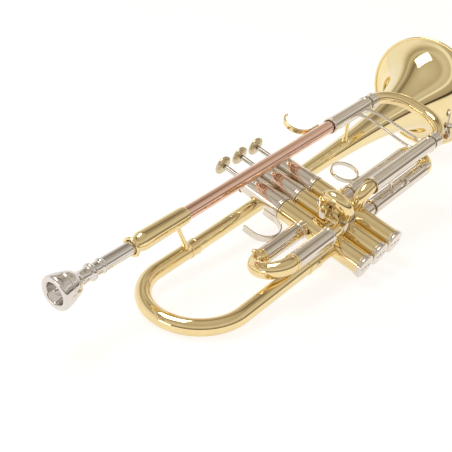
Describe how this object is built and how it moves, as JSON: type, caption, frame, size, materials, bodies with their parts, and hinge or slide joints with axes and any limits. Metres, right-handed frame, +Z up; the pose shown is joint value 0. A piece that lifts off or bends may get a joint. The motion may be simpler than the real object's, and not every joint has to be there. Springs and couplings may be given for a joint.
{
  "type": "trumpet",
  "caption": "Piston-valve trumpet lying on its left side, with mouthpiece, leadpipe, tuning slide, valve slides, sprung valves, water key and flared bell.",
  "frame": {"origin": "middle of the footprint box, on the table it lies on", "axes": "+Z up; +X runs from the mouthpiece to the bell, level with the table; +Y to the side the finger buttons point to"},
  "size_m": [0.542, 0.1836, 0.1224],
  "materials": {
    "lacquered_brass": "clear-lacquered yellow brass, polished",
    "lacquered_rose_brass": "clear-lacquered rose brass, polished",
    "nickel_silver": "nickel silver, polished",
    "silver_plate": "silver-plated brass, polished",
    "piston_alloy": "lapped nickel alloy",
    "spring_steel": "drawn spring wire",
    "cork": "natural cork"
  },
  "bodies": {
    "horn": {"baluster_1": "nickel_silver", "baluster_2": "nickel_silver", "baluster_3": "nickel_silver", "bell": "lacquered_brass", "bell_bow": "lacquered_brass", "bottom_cap_1": "nickel_silver", "bottom_cap_2": "nickel_silver", "bottom_cap_3": "nickel_silver", "casing_1": "lacquered_brass", "casing_2": "lacquered_brass", "casing_3": "lacquered_brass", "crossover_12": "lacquered_brass", "crossover_23": "lacquered_brass", "leadpipe": "lacquered_rose_brass", "main_knuckle": "lacquered_brass", "main_sleeve_lower": "nickel_silver", "main_sleeve_upper": "nickel_silver", "pinky_hook": "lacquered_brass", "post_receiver": "lacquered_brass", "post_sleeve": "lacquered_brass", "receiver": "lacquered_brass", "slide1_leg_lower": "lacquered_brass", "slide1_leg_upper": "nickel_silver", "slide2_sleeve_lower": "nickel_silver", "slide2_sleeve_upper": "nickel_silver", "slide3_leg_lower": "nickel_silver", "slide3_leg_upper": "nickel_silver", "slide3_stop_rod": "nickel_silver", "top_cap_1": "nickel_silver", "top_cap_2": "nickel_silver", "top_cap_3": "nickel_silver", "tuning_brace_front": "nickel_silver", "tuning_brace_rear": "nickel_silver", "valve_spring_1": "spring_steel", "valve_spring_2": "spring_steel", "valve_spring_3": "spring_steel"},
    "mouthpiece": {"mouthpiece": "silver_plate"},
    "valve_1": {"piston_1": "piston_alloy", "button_1": "nickel_silver"},
    "valve_2": {"piston_2": "piston_alloy", "button_2": "nickel_silver"},
    "valve_3": {"piston_3": "piston_alloy", "button_3": "nickel_silver"},
    "tuning_slide": {"main_leg_upper": "nickel_silver", "main_leg_lower": "nickel_silver", "tuning_bow": "lacquered_brass", "water_key_saddle": "nickel_silver", "water_key_spring": "spring_steel"},
    "water_key": {"water_key_lever": "nickel_silver", "water_key_cork": "cork"},
    "first_slide": {"slide1_sleeve_upper": "nickel_silver", "slide1_sleeve_lower": "nickel_silver", "slide1_crook": "lacquered_brass", "slide1_saddle": "nickel_silver"},
    "second_slide": {"slide2_crook": "lacquered_brass"},
    "third_slide": {"slide3_sleeve_upper": "nickel_silver", "slide3_sleeve_lower": "nickel_silver", "slide3_crook": "lacquered_brass", "finger_ring": "nickel_silver", "slide3_stop_tab": "nickel_silver"}
  },
  "joints": [
    {"name": "mouthpiece_pull", "type": "slide", "parent": "horn", "child": "mouthpiece", "axis": [-0.9939, 0, -0.1107], "range_m": [0, 0.04]},
    {"name": "valve_1_press", "type": "slide", "parent": "horn", "child": "valve_1", "axis": [0.0323, -0.9566, -0.2897], "range_m": [0, 0.017], "stiffness_N_per_m": 120, "springref_m": -0.02},
    {"name": "valve_2_press", "type": "slide", "parent": "horn", "child": "valve_2", "axis": [0.0323, -0.9566, -0.2897], "range_m": [0, 0.017], "stiffness_N_per_m": 120, "springref_m": -0.02},
    {"name": "valve_3_press", "type": "slide", "parent": "horn", "child": "valve_3", "axis": [0.0323, -0.9566, -0.2897], "range_m": [0, 0.017], "stiffness_N_per_m": 120, "springref_m": -0.02},
    {"name": "tuning_slide_pull", "type": "slide", "parent": "horn", "child": "tuning_slide", "axis": [0.9939, 0, 0.1107], "range_m": [0, 0.05]},
    {"name": "water_key_turn", "type": "hinge", "parent": "tuning_slide", "child": "water_key", "pos_m": [0.15273, -0.05339, 0.07085], "axis": [-0.1059, -0.2915, 0.9507], "range_deg": [0, 20], "stiffness_Nm_per_rad": 0.05, "springref_deg": -34.38},
    {"name": "first_slide_pull", "type": "slide", "parent": "horn", "child": "first_slide", "axis": [-0.9939, 0, -0.1107], "range_m": [0, 0.048]},
    {"name": "second_slide_pull", "type": "slide", "parent": "horn", "child": "second_slide", "axis": [-0.4705, -0.2703, 0.84], "range_m": [0, 0.015]},
    {"name": "third_slide_push", "type": "slide", "parent": "horn", "child": "third_slide", "axis": [0.9939, 0, 0.1107], "range_m": [0, 0.0335]}
  ]
}
